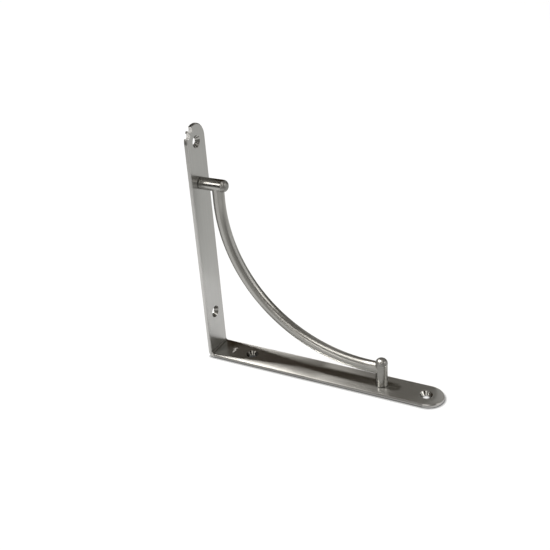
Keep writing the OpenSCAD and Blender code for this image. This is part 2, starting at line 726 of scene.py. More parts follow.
    def straight_column(self, s: float, side: float) -> Column:
        """Makes a line down one long edge.

        Args:
            s: Distance along the flat strip.
            side: -1 for the near edge, 1 for the far edge.

        Returns:
            The line.
        """
        eased = side < 0.0 and s >= self.ease_start
        rows = self.profile(self.near_dub if eased else 0.0)
        plan = [(s, side * (self.tip_radius - inset)) for inset, _, _ in rows]
        return Column(plan, (0.0, side), rows)

    def tip_column(self, centre: float, angle: float, dub: float = 0.0) -> Column:
        """Makes a line down a round end.

        Args:
            centre: Distance of the end's centre along the flat strip.
            angle: Angle about that centre, in radians.
            dub: Share of the full easing that linishing gave the face there.

        Returns:
            The line.
        """
        outward = (math.cos(angle), math.sin(angle))
        rows = self.profile(dub)
        plan = []
        for inset, _, _ in rows:
            radius = self.tip_radius - inset
            plan.append((centre + radius * outward[0], radius * outward[1]))
        return Column(plan, outward, rows)

    def bite_span(self, inset: float) -> float:
        """Gives half the angle that a bite takes out of the round end.

        Args:
            inset: Depth below the strip's edge.

        Returns:
            The angle about the end's centre, in radians.
        """
        reach = self.tip_radius - self.bite_inset
        radius = self.tip_radius - inset
        return math.acos((reach ** 2 + radius ** 2 - self.bite_radius ** 2) / (2 * reach * radius))

    def bite_columns(self, angle: float) -> list[Column]:
        """Makes the lines down the wall of one bite.

        Args:
            angle: Angle of the bite about the round end's centre, in radians.

        Returns:
            The lines, from the first edge of the bite to the last.
        """
        reach = self.tip_radius - self.bite_inset
        centre = (self.wall_end + reach * math.cos(angle), reach * math.sin(angle))
        rows = self.profile()
        ends = []
        for sign in (-1, 1):
            plan = []
            for inset, _, _ in rows:
                turn = angle + sign * self.bite_span(inset)
                radius = self.tip_radius - inset
                plan.append((self.wall_end + radius * math.cos(turn), radius * math.sin(turn)))
            turn = angle + sign * self.bite_span(0.0)
            ends.append(Column(plan, (math.cos(turn), math.sin(turn)), rows))
        first, last = ends
        inner = first.plan[0]
        start = math.atan2(inner[1] - centre[1], inner[0] - centre[0]) - angle - math.pi
        start = math.atan2(math.sin(start), math.cos(start))
        columns = [first]
        for step in range(1, self.bite_steps):
            turn = angle + math.pi + start * (1 - 2 * step / self.bite_steps)
            x, y = math.cos(turn), math.sin(turn)
            spot = (centre[0] + self.bite_radius * x, centre[1] + self.bite_radius * y)
            columns.append(Column([spot] * len(rows), (-x, -y), rows))
        columns.append(last)
        for column in columns[:-1]:
            column.bite = centre
        return columns

    def wall_tip(self) -> list[Column]:
        """Makes the lines down the wall leg's round end, bites included.

        Returns:
            The lines, counter-clockwise.
        """
        bites = [math.radians(angle) for angle in self.bite_angles]
        span = max(self.bite_span(inset) for inset, _, _ in self.profile()) + self.BITE_GAP
        columns: list[Column] = []
        waiting = list(bites)
        for angle in arc(90, 270, self.tip_steps):
            while waiting and angle > waiting[0] - span:
                columns.extend(self.bite_columns(waiting.pop(0)))
            if all(abs(angle - bite) > span for bite in bites):
                columns.append(self.tip_column(self.wall_end, angle))
        return columns

    def edge_places(self) -> list[float]:
        """Returns the distances along the long edges at which the mesh is cut across."""
        bend = [self.half_bend * (2 * step / self.bend_steps - 1) for step in range(self.bend_steps + 1)]
        return bend + [self.ease_start]

    def outline(self) -> list[Column]:
        """Makes every line down the strip's edge.

        Returns:
            The lines, counter-clockwise.
        """
        places = self.edge_places()
        near = [self.straight_column(s, -1.0) for s in places]
        far = [self.straight_column(s, 1.0) for s in reversed(places)]
        tip = []
        for angle in arc(-90, 90, self.tip_steps):
            dub = max(math.sqrt(max(math.cos(angle), 0.0)), -self.near_dub * math.sin(angle))
            tip.append(self.tip_column(self.shelf_end, angle, dub))
        return near + tip + far + self.wall_tip()

    def holes(self) -> list[Hole]:
        """Lists the screw holes and the rivet holes.

        Returns:
            The holes.
        """
        depth = self.sink_radius - self.screw_radius
        screws = [self.flat_shelf(self.shelf_in_hole), self.flat_shelf(self.shelf_leg - self.tip_hole),
                  self.flat_wall(self.wall_low_hole), self.flat_wall(self.wall_leg - self.tip_hole)]
        rivets = [self.flat_shelf(self.shelf_rivet), self.flat_wall(self.wall_rivet)]
        # Screw holes closer than shade_reach get a bore painted dark as shade.
        made = [Hole(at, self.screw_radius, self.sink_radius, depth, Side.INNER, 0.0 < at < self.shade_reach)
                for at in screws]
        made += [Hole(at, self.rivet_radius, self.rivet_sink_radius, self.rivet_sink_depth, Side.OUTER)
                 for at in rivets]
        return made

    def add_edge(self, skin: Skin, columns: list[Column]) -> None:
        """Skins the rounded edge and the walls of the bites.

        Args:
            skin: The skin to add to.
            columns: Lines down the edge.
        """
        first = columns[0].rows
        down = [0.0]
        for before, after in zip(first, first[1:]):
            down.append(down[-1] + math.dist(before[:2], after[:2]))
        middle = self.dub_steps + self.edge_steps
        leg_start = self.half_bend - self.TINY
        along = 0.0
        for index, column in enumerate(columns):
            following = columns[(index + 1) % len(columns)]
            step = math.dist(column.plan[middle], following.plan[middle])
            for row in range(len(first) - 1):
                quad = ((column, row), (column, row + 1), (following, row + 1), (following, row))
                corners = []
                for line, line_row in quad:
                    s, y = line.plan[line_row]
                    _, n, slope = line.rows[line_row]
                    if column.bite:
                        direction = (column.bite[0] - s, column.bite[1] - y, 0.0)
                    else:
                        flat = math.cos(slope)
                        direction = (line.outward[0] * flat, line.outward[1] * flat, math.sin(slope))
                    u = along + (step if line is following else 0.0)
                    uv = (s, y) if row < self.dub_steps else (u, down[line_row])
                    corners.append((self.fold(s, y, n), self.turn(s, direction), uv))
                if column.bite:
                    # The bites' walls take a painted highlight, near white.
                    slot = self.BITE
                elif row < self.dub_steps:
                    slot = self.FACE
                # The near side of the wall leg and of the fold is painted pale as light.
                elif following is columns[0] or column.near_side(leg_start):
                    slot = self.LIT_SIDE
                # The arcs of the shelf leg's long sides are painted dark as shade.
                elif row != middle and column.long_side(leg_start):
                    slot = self.ROUND
                else:
                    slot = self.EDGE
                skin.face(corners, slot)
            along += step

    def add_hole(self, skin: Skin, hole: Hole) -> None:
        """Skins the wall of one hole.

        Args:
            skin: The skin to add to.
            hole: The hole.
        """
        slope = math.atan2(hole.sink_radius - hole.radius, hole.sink_depth)
        top, base = self.thickness, 0.0
        if hole.side is Side.INNER:
            bands = [(hole.sink_radius, top, hole.radius, top - hole.sink_depth, slope),
                     (hole.radius, top - hole.sink_depth, hole.radius, base, 0.0)]
        else:
            bands = [(hole.radius, top, hole.radius, hole.sink_depth, 0.0),
                     (hole.radius, hole.sink_depth, hole.sink_radius, base, -slope)]
        angles = arc(360, 0, self.hole_steps)
        for high_radius, high, low_radius, low, tilt in bands:
            length = math.dist((high_radius, high), (low_radius, low))
            for before, after in zip(angles, angles[1:]):
                quad = ((before, high_radius, high, 0.0), (before, low_radius, low, length),
                        (after, low_radius, low, length), (after, high_radius, high, 0.0))
                corners = []
                for angle, radius, n, v in quad:
                    s, y = hole.at + radius * math.cos(angle), radius * math.sin(angle)
                    flat = -math.cos(tilt)
                    direction = (flat * math.cos(angle), flat * math.sin(angle), math.sin(tilt))
                    uv = (angle * hole.radius, v)
                    corners.append((self.fold(s, y, n), self.turn(hole.at, direction), uv))
                # A hole in the wall leg's shade gets a bore painted dark as shade.
                skin.face(corners, self.DARK_BORE if hole.in_shade else self.BORE)

    def add_face(self, skin: Skin, columns: list[Column], holes: list[Hole], side: Side) -> None:
        """Skins the inner or the outer face of the strip.

        Args:
            skin: The skin to add to.
            columns: Lines down the edge.
            holes: Holes through the face.
            side: The face.
        """
        row = 0 if side is Side.INNER else -1
        height = self.thickness if side is Side.INNER else 0.0
        facing = (0.0, 0.0, 1.0) if side is Side.INNER else (0.0, 0.0, -1.0)
        spots = [column.plan[row] for column in columns]
        count = len(spots)
        edges = [(index, (index + 1) % count) for index in range(count)]
        across = len(self.edge_places())
        far_start = across + self.tip_steps + 1
        edges += [(index, far_start + across - 1 - index) for index in range(across)]
        for hole in holes:
            start = len(spots)
            for angle in arc(360, 0, self.hole_steps)[:-1]:
                spots.append((hole.at + hole.rim(side) * math.cos(angle), hole.rim(side) * math.sin(angle)))
            steps = range(self.hole_steps)
            edges += [(start + step, start + (step + 1) % self.hole_steps) for step in steps]
        made = delaunay_2d_cdt([Vector(spot) for spot in spots], edges, [], 1, self.CUT_MERGE)
        for triangle in made[2]:
            flat = [made[0][index] for index in triangle]
            middle = sum(flat, Vector((0.0, 0.0))) / len(flat)
            if any(math.dist(middle, (hole.at, 0.0)) < hole.rim(side) * self.HOLE_INSIDE for hole in holes):
                continue
            if side is Side.OUTER:
                flat.reverse()
            # The inner face of the fold is painted dark as shade.
            creased = side is Side.INNER and abs(middle.x) < self.half_bend
            skin.face([(self.fold(spot.x, spot.y, height), self.turn(spot.x, facing), (spot.x, spot.y))
                       for spot in flat], self.CREASE if creased else self.FACE)

    def build(self, finishes: list[bpy.types.Material]) -> bpy.types.Object:
        """Makes the strip.

        Args:
            finishes: Finishes of its faces, edges, holes, fold (painted shade), bites (painted highlight),
                shelf leg's long edges (painted shade), near edge (painted light) and shaded hole (painted
                shade), in that order.

        Returns:
            The strip, riding on the row's one body.
        """
        skin = Skin(self.corner)
        columns = self.outline()
        holes = self.holes()
        self.add_edge(skin, columns)
        for hole in holes:
            self.add_hole(skin, hole)
        for side in Side:
            self.add_face(skin, columns, holes, side)
        piece = skin.build("folded_strip", finishes)
        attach(piece, "root")
        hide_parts("bent_strip")
        return piece


@dataclass
class Post:
    """Turned post with a domed end, riveted through the strip.

    Its profile is turned about its axis from the rivet's end, flush with the strip's outer face, to the
    dome. Sizes are in millimetres.

    Attributes:
        corner: Place of the strip's outer corner in the row's frame, in metres.
        stand: Leg that it stands on.
        node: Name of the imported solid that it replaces.
        at: Distance of its axis from the outer corner, along that leg.
        radius: Radius of the post.
        length: Length of the post over the strip.
        strip_thickness: Thickness of the strip.
        dome_radius: Radius of the rounded rim of its end.
        tenon_radius: Radius of the rivet's shank.
        head_depth: Depth of the rivet's spread head.
        foot: Chamfer at the foot.
        round_steps, dome_steps: Steps around the post and over the dome.
    """

    TURNED: ClassVar[int] = 0
    RIVET: ClassVar[int] = 1
    DOME: ClassVar[int] = 2
    FOOT: ClassVar[int] = 3

    corner: Vector
    stand: Stand
    node: str
    at: float
    radius: float
    length: float
    strip_thickness: float
    dome_radius: float = 4.2
    tenon_radius: float = 3.0
    head_depth: float = 1.0
    foot: float = 0.6
    round_steps: int = 72
    dome_steps: int = 14

    def place(self, radius: float, angle: float, height: float) -> Vector:
        """Places a point of the turned profile.

        Args:
            radius: Distance from the post's axis.
            angle: Angle about the axis.
            height: Distance from the strip's outer face.

        Returns:
            The point, in millimetres from the strip's outer corner.
        """
        x, y = radius * math.cos(angle), radius * math.sin(angle)
        if self.stand is Stand.SHELF:
            return Vector((self.at + x, y, height))
        return Vector((height, y, self.at - x))

    def facing(self, angle: float, slope: float) -> Vector:
        """Places a direction of the turned profile.

        Args:
            angle: Angle about the post's axis.
            slope: Angle above the plane across the axis.

        Returns:
            The direction.
        """
        flat = math.cos(slope)
        x, y, up = flat * math.cos(angle), flat * math.sin(angle), math.sin(slope)
        if self.stand is Stand.SHELF:
            return Vector((x, y, up))
        return Vector((up, y, -x))

    def bands(self) -> list[tuple[Plan, Plan, float, float, int]]:
        """Lists the stretches of the profile.

        Returns:
            Start and end of each stretch, as radius and height, the slope at each, and its finish's slot.
        """
        quarter = math.pi / 2
        head = self.tenon_radius + self.head_depth
        seat = self.strip_thickness
        top = seat + self.length
        ring, shoulder = self.radius - self.dome_radius, top - self.dome_radius
        neck, shank_end = (self.tenon_radius, self.head_depth), (self.tenon_radius, seat)
        toe, heel = (self.radius - self.foot, seat), (self.radius, seat + self.foot)
        found = [
            ((0.0, 0.0), (head, 0.0), -quarter, -quarter, self.RIVET),
            ((head, 0.0), neck, quarter / 2, quarter / 2, self.TURNED),
            (neck, shank_end, 0.0, 0.0, self.TURNED),
            (shank_end, toe, -quarter, -quarter, self.TURNED),
            (toe, heel, -quarter / 2, -quarter / 2, self.FOOT),
            (heel, (self.radius, shoulder), 0.0, 0.0, self.TURNED),
        ]
        dome = arc(0, 90, self.dome_steps)
        for low, high in zip(dome, dome[1:]):
            ends = [(ring + self.dome_radius * math.cos(a), shoulder + self.dome_radius * math.sin(a))
                    for a in (low, high)]
            found.append((ends[0], ends[1], low, high, self.DOME))
        found.append(((ring, top), (0.0, top), quarter, quarter, self.DOME))
        return found

    def build(self, finishes: list[bpy.types.Material]) -> bpy.types.Object:
        """Makes the post.

        Args:
            finishes: Finish of the turned post, of the hammered rivet end, of the domed end, painted darker
                as shade, and of the chamfered foot, painted dark as shade.

        Returns:
            The post, riding on the row's one body.
        """
        skin = Skin(self.corner)
        angles = arc(0, 360, self.round_steps)
        along = 0.0
        for low, high, low_slope, high_slope, slot in self.bands():
            length = math.dist(low, high)
            for before, after in zip(angles, angles[1:]):
                quad = ((before, low, low_slope, 0.0), (after, low, low_slope, 0.0),
                        (after, high, high_slope, length), (before, high, high_slope, length))
                corners = []
                for angle, spot, slope, v in quad:
                    uv = (angle * self.radius, along + v)
                    corners.append((self.place(spot[0], angle, spot[1]), self.facing(angle, slope), uv))
                skin.face(corners, slot)
            along += length
        piece = skin.build(f"turned_{self.node}", finishes)
        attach(piece, "root")
        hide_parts(self.node)
        return piece


@dataclass
class CurvedRod:
    """Round bar bent to a quarter circle, with a straight tail saddled to each post.

    Sizes are in millimetres.

    Attributes:
        corner: Place of the strip's outer corner in the row's frame, in metres.
        radius: Radius of the bar.
        axis_off: Distance of the straight tails' axes from the strip's outer faces.
        wall_post: Height of the wall post's axis.
        shelf_post: Distance of the shelf post's axis from the outer corner.
        post_radius: Radius of the posts.
        bend_radius: Radius of the bend's axis.
        bend_steps, round_steps: Steps along the bend and around the bar.
    """

    AT_END: ClassVar[float] = 0.01 * MM

    corner: Vector
    radius: float
    axis_off: float
    wall_post: float
    shelf_post: float
    post_radius: float
    bend_radius: float = 122.0
    bend_steps: int = 96
    round_steps: int = 48

    def tree(self, finish: bpy.types.Material) -> bpy.types.NodeTree:
        """Makes the node tree that fillets the rod's path and sweeps a circle along it.

        Args:
            finish: The rod's finish.

        Returns:
            The tree, with named inputs for the bend's radius and the rod's radius.
        """
        tree = bpy.data.node_groups.new("bent_round_bar", "GeometryNodeTree")
        face = tree.interface
        face.new_socket("Path", in_out="INPUT", socket_type="NodeSocketGeometry")
        face.new_socket("Bend radius", in_out="INPUT", socket_type="NodeSocketFloat")
        face.new_socket("Rod radius", in_out="INPUT", socket_type="NodeSocketFloat")
        face.new_socket("Bar", in_out="OUTPUT", socket_type="NodeSocketGeometry")
        nodes = Nodes(tree)
        source = nodes.add("NodeGroupInput")
        result = nodes.add("NodeGroupOutput")
        path = nodes.add("GeometryNodeMeshToCurve")
        fillet = nodes.add("GeometryNodeFilletCurve", mode="POLY")
        fillet.inputs["Count"].default_value = self.bend_steps
        circle = nodes.add("GeometryNodeCurvePrimitiveCircle")
        circle.inputs["Resolution"].default_value = self.round_steps
        length = nodes.add("GeometryNodeSplineParameter")
        keep_length = nodes.add("GeometryNodeStoreNamedAttribute", data_type="FLOAT", domain="POINT")
        keep_length.inputs["Name"].default_value = "along"
        around = nodes.add("GeometryNodeSplineParameter")
        keep_around = nodes.add("GeometryNodeStoreNamedAttribute", data_type="FLOAT", domain="POINT")
        keep_around.inputs["Name"].default_value = "around"
        sweep = nodes.add("GeometryNodeCurveToMesh")
        sweep.inputs["Fill Caps"].default_value = True
        smooth = nodes.add("GeometryNodeSetShadeSmooth")
        real = nodes.add("GeometryNodeRealizeInstances")
        paint = nodes.add("GeometryNodeSetMaterial")
        paint.inputs["Material"].default_value = finish
        nodes.link(source.outputs["Path"], path.inputs["Mesh"])
        nodes.link(path.outputs["Curve"], fillet.inputs["Curve"])
        nodes.link(source.outputs["Bend radius"], fillet.inputs["Radius"])
        nodes.link(fillet.outputs["Curve"], keep_length.inputs["Geometry"])
        nodes.link(length.outputs["Length"], keep_length.inputs["Value"])
        nodes.link(source.outputs["Rod radius"], circle.inputs["Radius"])
        nodes.link(circle.outputs["Curve"], keep_around.inputs["Geometry"])
        nodes.link(around.outputs["Factor"], keep_around.inputs["Value"])
        nodes.link(keep_length.outputs["Geometry"], sweep.inputs["Curve"])
        nodes.link(keep_around.outputs["Geometry"], sweep.inputs["Profile Curve"])
        nodes.link(sweep.outputs["Mesh"], smooth.inputs["Geometry"])
        nodes.link(smooth.outputs["Geometry"], real.inputs["Geometry"])
        nodes.link(real.outputs["Geometry"], paint.inputs["Geometry"])
        nodes.link(paint.outputs["Geometry"], result.inputs["Bar"])
        return tree

    def path(self) -> bpy.types.Object:
        """Makes the rod's path as two straight runs that meet at a corner.

        Returns:
            The object that holds the path.
        """
        wall_end = Vector((self.axis_off, 0.0, self.wall_post))
        bend = Vector((self.axis_off, 0.0, self.axis_off))
        shelf_end = Vector((self.shelf_post, 0.0, self.axis_off))
        mesh = bpy.data.meshes.new("rod_path")
        points = [tuple(self.corner + station * MM) for station in (wall_end, bend, shelf_end)]
        mesh.from_pydata(points, [(0, 1), (1, 2)], [])
        piece = bpy.data.objects.new("bent_rod", mesh)
        bpy.context.scene.collection.objects.link(piece)
        return piece

    def saddle(self, mesh: bpy.types.Mesh) -> None:
        """Fits both ends of the swept bar to the posts' round sides.

        Args:
            mesh: The swept bar.
        """
        top = self.corner.z + self.wall_post * MM
        end = self.corner.x + self.shelf_post * MM
        for vertex in mesh.vertices:
            depth = math.sqrt(max((self.post_radius * MM) ** 2 - vertex.co.y ** 2, 0.0))
            if abs(vertex.co.z - top) < self.AT_END:
                vertex.co.z = top - depth
            elif abs(vertex.co.x - end) < self.AT_END:
                vertex.co.x = end - depth

    @staticmethod
    def close_ends(mesh: bpy.types.Mesh) -> None:
        """Lays both hollowed end faces in strips along the posts.

        Args:
            mesh: The swept bar.
        """
        work = bmesh.new()
        work.from_mesh(mesh)
        for cap in [face for face in work.faces if len(face.verts) > 4]:
            ring = list(cap.verts)
            start = max(range(len(ring)), key=lambda index: ring[index].co.y)
            ring = ring[start:] + ring[:start]
            material = cap.material_index
            work.faces.remove(cap)
            for low in range(len(ring) // 2):
                strip = [ring[low], ring[low + 1], ring[-low - 1], ring[-low]]
                work.faces.new(list(dict.fromkeys(strip))).material_index = material
        work.to_mesh(mesh)
        work.free()

    def lay_grain(self, mesh: bpy.types.Mesh) -> None:
        """Turns the stored lengths into a UV map with its grain along the rod.

        Args:
            mesh: The swept bar.
        """
        along = mesh.attributes["along"].data
        around = mesh.attributes["around"].data
        girth = 2 * math.pi * self.radius * MM
        grain = mesh.uv_layers.new(name="grain")
        for polygon in mesh.polygons:
            corners = [mesh.loops[index].vertex_index for index in polygon.loop_indices]
            turns = [around[corner].value for corner in corners]
            runs = [along[corner].value for corner in corners]
            if max(runs) - min(runs) < self.AT_END:
                for loop, corner in zip(polygon.loop_indices, corners):
                    spot = mesh.vertices[corner].co
                    grain.data[loop].uv = (spot.x + spot.z, spot.y)
                continue
            crosses_seam = max(turns) - min(turns) > 0.5
            for loop, corner, turn in zip(polygon.loop_indices, corners, turns):
                lifted = turn + 1.0 if crosses_seam and turn < 0.5 else turn
                grain.data[loop].uv = (along[corner].value, lifted * girth)

    def build(self, finish: bpy.types.Material) -> bpy.types.Object:
        """Makes the rod.

        Args:
            finish: The rod's finish.

        Returns:
            The rod, riding on the row's one body.
        """
        piece = self.path()
        tree = self.tree(finish)
        modifier = piece.modifiers.new("bent_round_bar", "NODES")
        modifier.node_group = tree
        sizes = {"Bend radius": self.bend_radius * MM, "Rod radius": self.radius * MM}
        for item in tree.interface.items_tree:
            if item.name in sizes:
                modifier[item.identifier] = sizes[item.name]
        graph = bpy.context.evaluated_depsgraph_get()
        mesh = bpy.data.meshes.new_from_object(piece.evaluated_get(graph))
        piece.modifiers.clear()
        piece.data = mesh
        self.saddle(mesh)
        self.close_ends(mesh)
        self.lay_grain(mesh)
        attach(piece, "root")
        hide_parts("curved_rod")
        return piece


@dataclass(frozen=True)
class Lamp:
    """Soft lamp that points at the bracket.

    Attributes:
        name: Name of the lamp.
        towards: Direction from the bracket to the lamp.
        distance: Distance from the bracket, in metres.
        width: Level side of the lamp, in metres.
        height: Other side of the lamp, in metres.
        power: Power, in watts.
        colour: Colour of its light.
    """

    name: str
    towards: tuple[float, float, float]
    distance: float
    width: float
    height: float
    power: float
    colour: tuple[float, float, float] = (1.0, 0.98, 0.95)

    def build(self, target: Vector) -> bpy.types.Object:
        """Makes the lamp.

        Args:
            target: Point that the lamp faces.

        Returns:
            The lamp.
        """
        light = bpy.data.lights.new(self.name, "AREA")
        light.shape = "RECTANGLE"
        light.size = self.width
        light.size_y = self.height
        light.energy = self.power
        light.color = self.colour
        lamp = bpy.data.objects.new(self.name, light)
        back = Vector(self.towards).normalized()
        lamp.location = target + back * self.distance
        lamp.rotation_mode = "QUATERNION"
        lamp.rotation_quaternion = back.to_track_quat("Z", "Y")
        lamp.visible_camera = False
        bpy.context.scene.collection.objects.link(lamp)
        return lamp


@dataclass(frozen=True)
class Card:
    """Card curved about the bracket, which only the metal sees.

    Attributes:
        name: Name of the card.
        start: First azimuth, in degrees from +X.
        end: Last azimuth.
        profile: Distance from the row's axis and height of its points, in metres.
        colour: Colour of its paper.
    """

    name: str
    start: float
    end: float
    profile: tuple[Plan, ...]
    colour: tuple[float, float, float]


@dataclass(frozen=True)
class Panel:
    """Flat card near the bracket, which the metal mirrors and which may keep the key lamp off.

    Attributes:
        name: Name of the panel.
        start: One corner, in metres in the row's frame.
        across: First side, from that corner.
        rise: Second side, from that corner.
        colour: Colour of its paper.
        shades: Whether it keeps light off as well as being mirrored.
    """

    name: str
    start: tuple[float, float, float]
    across: tuple[float, float, float]
    rise: tuple[float, float, float]
    colour: tuple[float, float, float]
    shades: bool = False


@dataclass
class Studio:
    """Pale floor that rises into a far cove, cards for the metal to mirror, soft lamps and the camera.

    Attributes:
        target: Point that the camera and the lamps face, in metres in the row's frame.
        azimuth: Turn of the camera about the bracket, in degrees from the front.
        elevation: Angle of the camera above the floor, in degrees.
        roll: Turn of the camera about its own axis, in degrees.
        camera_distance: Distance of the camera from the target, in metres.
        lens: Focal length, in millimetres.
        clip: Nearest and farthest distance that the camera sees, in metres.
        floor_radius: Radius of the floor, in metres.
        cove_radius: Radius of the cove, in metres.
        cove_height: Height of the cove, in metres.
        floor_steps, cove_steps, card_steps: Steps of each round form.
        ambient: Colour of the room's even light.
        lamps: The lamps.
        panels: The flat cards.
        cards: The curved cards.
    """

    target: Vector = field(default_factory=lambda: Vector((-0.03776, 0.0, 0.08305)))
    azimuth: float = 29.37
    elevation: float = 28.17
    roll: float = -4.26
    camera_distance: float = 0.6899
    lens: float = 58.04
    clip: tuple[float, float] = (0.01, 50.0)
    floor_radius: float = 3.0
    cove_radius: float = 0.8
    cove_height: float = 1.8
    floor_steps: int = 96
    cove_steps: int = 12
    card_steps: int = 48
    ambient: tuple[float, float, float] = (0.038, 0.026, 0.016)
    lamps: tuple[Lamp, ...] = (
        Lamp("key", (-0.457, -0.036, 0.889), 3.0, 0.212, 0.24, 87.0),
        Lamp("key_rim", (-0.457, 0.03, 0.889), 3.0, 0.19, 0.24, 42.0),
        Lamp("side_lamp", (-0.51, -0.64, 0.58), 1.2, 0.3, 0.32, 2.2),
        Lamp("top_lamp", (-0.03, -0.16, 0.987), 1.2, 0.36, 0.34, 1.6),
        Lamp("low_lamp", (-0.07, -0.955, 0.29), 1.2, 0.35, 0.2, 1.0),
        Lamp("fill", (0.22, -0.4, 0.89), 1.3, 0.28, 0.6, 2.2),
        Lamp("front_lamp", (0.45, -0.69, 0.57), 1.2, 0.3, 0.25, 0.75),
        Lamp("right_lamp", (0.81, 0.09, 0.58), 1.2, 0.42, 0.36, 1.5),
    )
    panels: tuple[Panel, ...] = (
        # Painted shade: grey sheets on the floor beside the shelf leg, which only the metal mirrors,
        # darkest by the tip.
        Panel("front_floor_shade", (-0.1, -0.06, 0.0005), (0.1855, 0.0, 0.0), (0.0, 0.0465, 0.0),
              (0.62, 0.615, 0.6)),
        Panel("tip_floor_shade", (0.0855, -0.06, 0.0005), (0.0295, 0.0, 0.0), (0.0, 0.0465, 0.0),
              (0.42, 0.415, 0.4)),
        Panel("key_flag", (-0.106, -0.011, 0.191), (0.0, 0.022, 0.0), (0.0, 0.0, 0.031),
              (0.02, 0.02, 0.02), shades=True),
        Panel("dark_side", (-0.33, -0.26, 0.1), (0.19, 0.0, 0.0), (0.0, 0.0, 0.18),
              (0.05, 0.05, 0.047)),
    )
    cards: tuple[Card, ...] = (
        Card("dark_back", 111.0, 178.0, ((1.1, 0.0), (1.1, 1.6)), (0.028, 0.015, 0.003)),
        Card("grey_back", 50.0, 111.0, ((1.1, 0.0), (1.1, 1.6)), (0.07, 0.063, 0.048)),
        Card("pale_back", 70.0, 101.0, ((1.05, 0.45), (1.05, 0.95)), (0.75, 0.74, 0.72)),
        Card("grey_right", -10.0, 50.0, ((1.1, 0.64), (1.1, 1.6)), (0.33, 0.32, 0.3)),
        Card("dim_front", -100.0, -46.0, ((0.3, 0.002), (1.3, 0.002), (1.5, 0.9)), (0.42, 0.413, 0.392)),
        Card("dark_front", -46.0, -10.0, ((0.3, 0.002), (1.3, 0.002), (1.5, 0.9)), (0.27, 0.265, 0.252)),
        Card("high_right", 15.0, 95.0, ((0.75, 1.25), (0.35, 1.55)), (0.42, 0.413, 0.395)),
        Card("high_front", -128.0, -75.0, ((0.85, 1.1), (0.6, 1.35)), (0.85, 0.84, 0.82)),
        Card("dim_left", -182.0, -100.0, ((0.52, 0.002), (1.3, 0.002), (1.5, 0.9)), (0.3, 0.295, 0.28)),
        Card("right_floor", -10.0, 30.0, ((0.11, 0.002), (1.04, 0.002)), (0.58, 0.577, 0.56)),
        Card("far_floor", 30.0, 120.0, ((0.11, 0.002), (1.04, 0.002)), (0.82, 0.82, 0.8)),
    )

    def surface(self, name: str, rings: list[list[Vector]], finish: bpy.types.Material) -> bpy.types.Object:
        """Makes a smooth open surface from rows of points.

        Args:
            name: Name of the surface.
            rings: Rows of points, all of the same length.
            finish: Its finish.

        Returns:
            The surface.
        """
        width = len(rings[0])
        points = [tuple(point) for ring in rings for point in ring]
        faces = []
        for row in range(len(rings) - 1):
            for step in range(width - 1):
                first = row * width + step
                faces.append((first, first + 1, first + width + 1, first + width))
        mesh = bpy.data.meshes.new(name)
        mesh.from_pydata(points, [], faces)
        mesh.materials.append(finish)
        for polygon in mesh.polygons:
            polygon.use_smooth = True
        piece = bpy.data.objects.new(name, mesh)
        bpy.context.scene.collection.objects.link(piece)
        return piece

    def floor(self) -> bpy.types.Object:
        """Makes the floor and its cove.

        Returns:
            The floor.
        """
        profile = [(0.001, 0.0), (self.floor_radius - self.cove_radius, 0.0)]
        for angle in arc(-90, 0, self.cove_steps)[1:]:
            profile.append((self.floor_radius - self.cove_radius + self.cove_radius * math.cos(angle),
                            self.cove_radius + self.cove_radius * math.sin(angle)))
        profile.append((self.floor_radius, self.cove_height))
        angles = arc(0, 360, self.floor_steps)
        rings = [[Vector((r * math.cos(a), r * math.sin(a), z)) for a in angles] for r, z in profile]
        return self.surface("floor", rings, PaleSurface().build())

    def card(self, card: Card) -> bpy.types.Object:
        """Makes one card.

        Args:
            card: The card to make.

        Returns:
            The card's surface.
        """
        angles = arc(card.start, card.end, self.card_steps)
        rings = [[Vector((r * math.cos(a), r * math.sin(a), z)) for a in angles] for r, z in card.profile]
        return self.mirrored(card, rings)

    def panel(self, panel: Panel) -> bpy.types.Object:
        """Makes one panel.

        Args:
            panel: The panel to make.

        Returns:
            The panel's surface.
        """
        start, across, rise = Vector(panel.start), Vector(panel.across), Vector(panel.rise)
        rings = [[start, start + across], [start + rise, start + across + rise]]
        piece = self.mirrored(panel, rings)
        piece.visible_shadow = panel.shades
        return piece

    def mirrored(self, item: Card | Panel, rings: list[list[Vector]]) -> bpy.types.Object:
        """Makes the paper of a card or panel, which only the metal sees.

        Args:
            item: The card or panel.
            rings: Rows of its points, all of the same length.

        Returns:
            The paper's surface.
        """
        piece = self.surface(item.name, rings, CardPaper(item.name, item.colour).build())
        piece.visible_camera = False
        piece.visible_diffuse = False
        piece.visible_shadow = False
        return piece

    def world(self) -> None:
        """Sets the dim even light of the room."""
        world = bpy.data.worlds.new("room")
        world.use_nodes = True
        nodes = Nodes(world.node_tree)
        room = nodes.add("ShaderNodeBackground")
        room.inputs["Color"].default_value = (*self.ambient, 1.0)
        output = nodes.add("ShaderNodeOutputWorld")
        nodes.link(room.outputs["Background"], output.inputs["Surface"])
        bpy.context.scene.world = world

    def camera(self) -> bpy.types.Object:
        """Makes the camera at the photograph's viewing angle.

        Returns:
            The camera.
        """
        a, e, r = (math.radians(value) for value in (self.azimuth, self.elevation, self.roll))
        back = Vector((math.sin(a) * math.cos(e), -math.cos(a) * math.cos(e), math.sin(e)))
        level = Vector((math.cos(a), math.sin(a), 0.0))
        rise = back.cross(level)
        right = level * math.cos(r) + rise * math.sin(r)
        up = rise * math.cos(r) - level * math.sin(r)
        lens = bpy.data.cameras.new("camera")
        lens.lens = self.lens
        lens.clip_start, lens.clip_end = self.clip
        camera = bpy.data.objects.new("camera", lens)
        place = self.target + back * self.camera_distance
        rows = [(right[i], up[i], back[i], place[i]) for i in range(3)]
        camera.matrix_world = Matrix([*rows, (0.0, 0.0, 0.0, 1.0)])
        bpy.context.scene.collection.objects.link(camera)
        bpy.context.scene.camera = camera
        return camera

